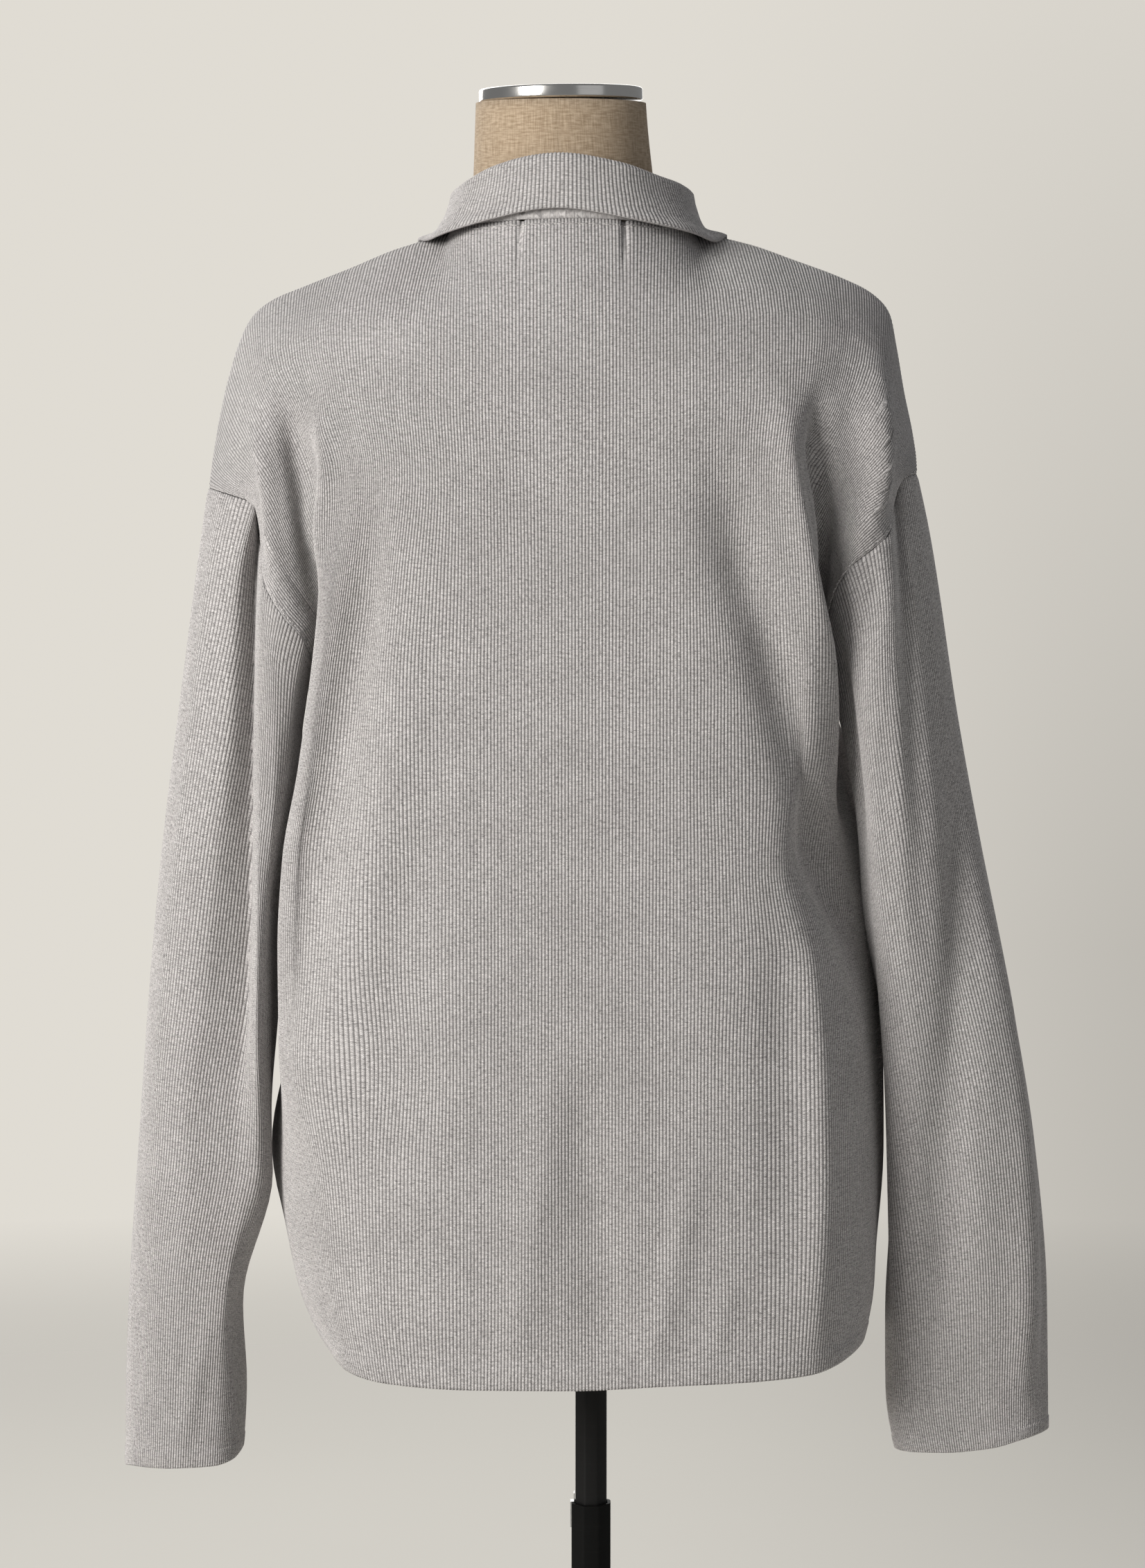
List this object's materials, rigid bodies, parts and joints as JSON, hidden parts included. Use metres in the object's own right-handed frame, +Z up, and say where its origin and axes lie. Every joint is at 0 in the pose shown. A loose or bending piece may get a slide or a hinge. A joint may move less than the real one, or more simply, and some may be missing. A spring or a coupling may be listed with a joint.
{
  "type": "cardigan on a dress form with a stand",
  "caption": "Long-sleeved fine-rib cardigan with a turned-down collar, worn by a limbless dress form on a telescoping pole and round base.",
  "frame": {"origin": "centre of the base's underside, on the pole axis at the floor", "axes": "+Z up along the pole, -Y out of the garment's front, +X towards the wearer's left"},
  "size_m": [0.5873, 0.3, 1.4959],
  "materials": {
    "knit": "fine rib knit, grey marl",
    "linen": "plain woven linen",
    "chrome": "polished",
    "black_metal": "satin black",
    "steel": "bright",
    "button": "semi-matt"
  },
  "bodies": {
    "stand": {"base": "black_metal", "pole_lower": "black_metal", "pole_catch": "steel"},
    "dressed_form": {"form": "linen", "neck_cap": "chrome", "pole_upper": "black_metal", "back": "knit", "front_left": "knit", "front_right": "knit", "sleeve_left": "knit", "sleeve_right": "knit", "collar": "knit", "band_left": "knit", "band_right": "knit", "button_1": "button", "button_2": "button", "button_3": "button", "button_4": "button", "button_5": "button", "button_6": "button"}
  },
  "joints": [
    {"name": "pole_height", "type": "slide", "parent": "stand", "child": "dressed_form", "axis": [0, 0, 1], "range_m": [-0.1, 0.15]}
  ]
}
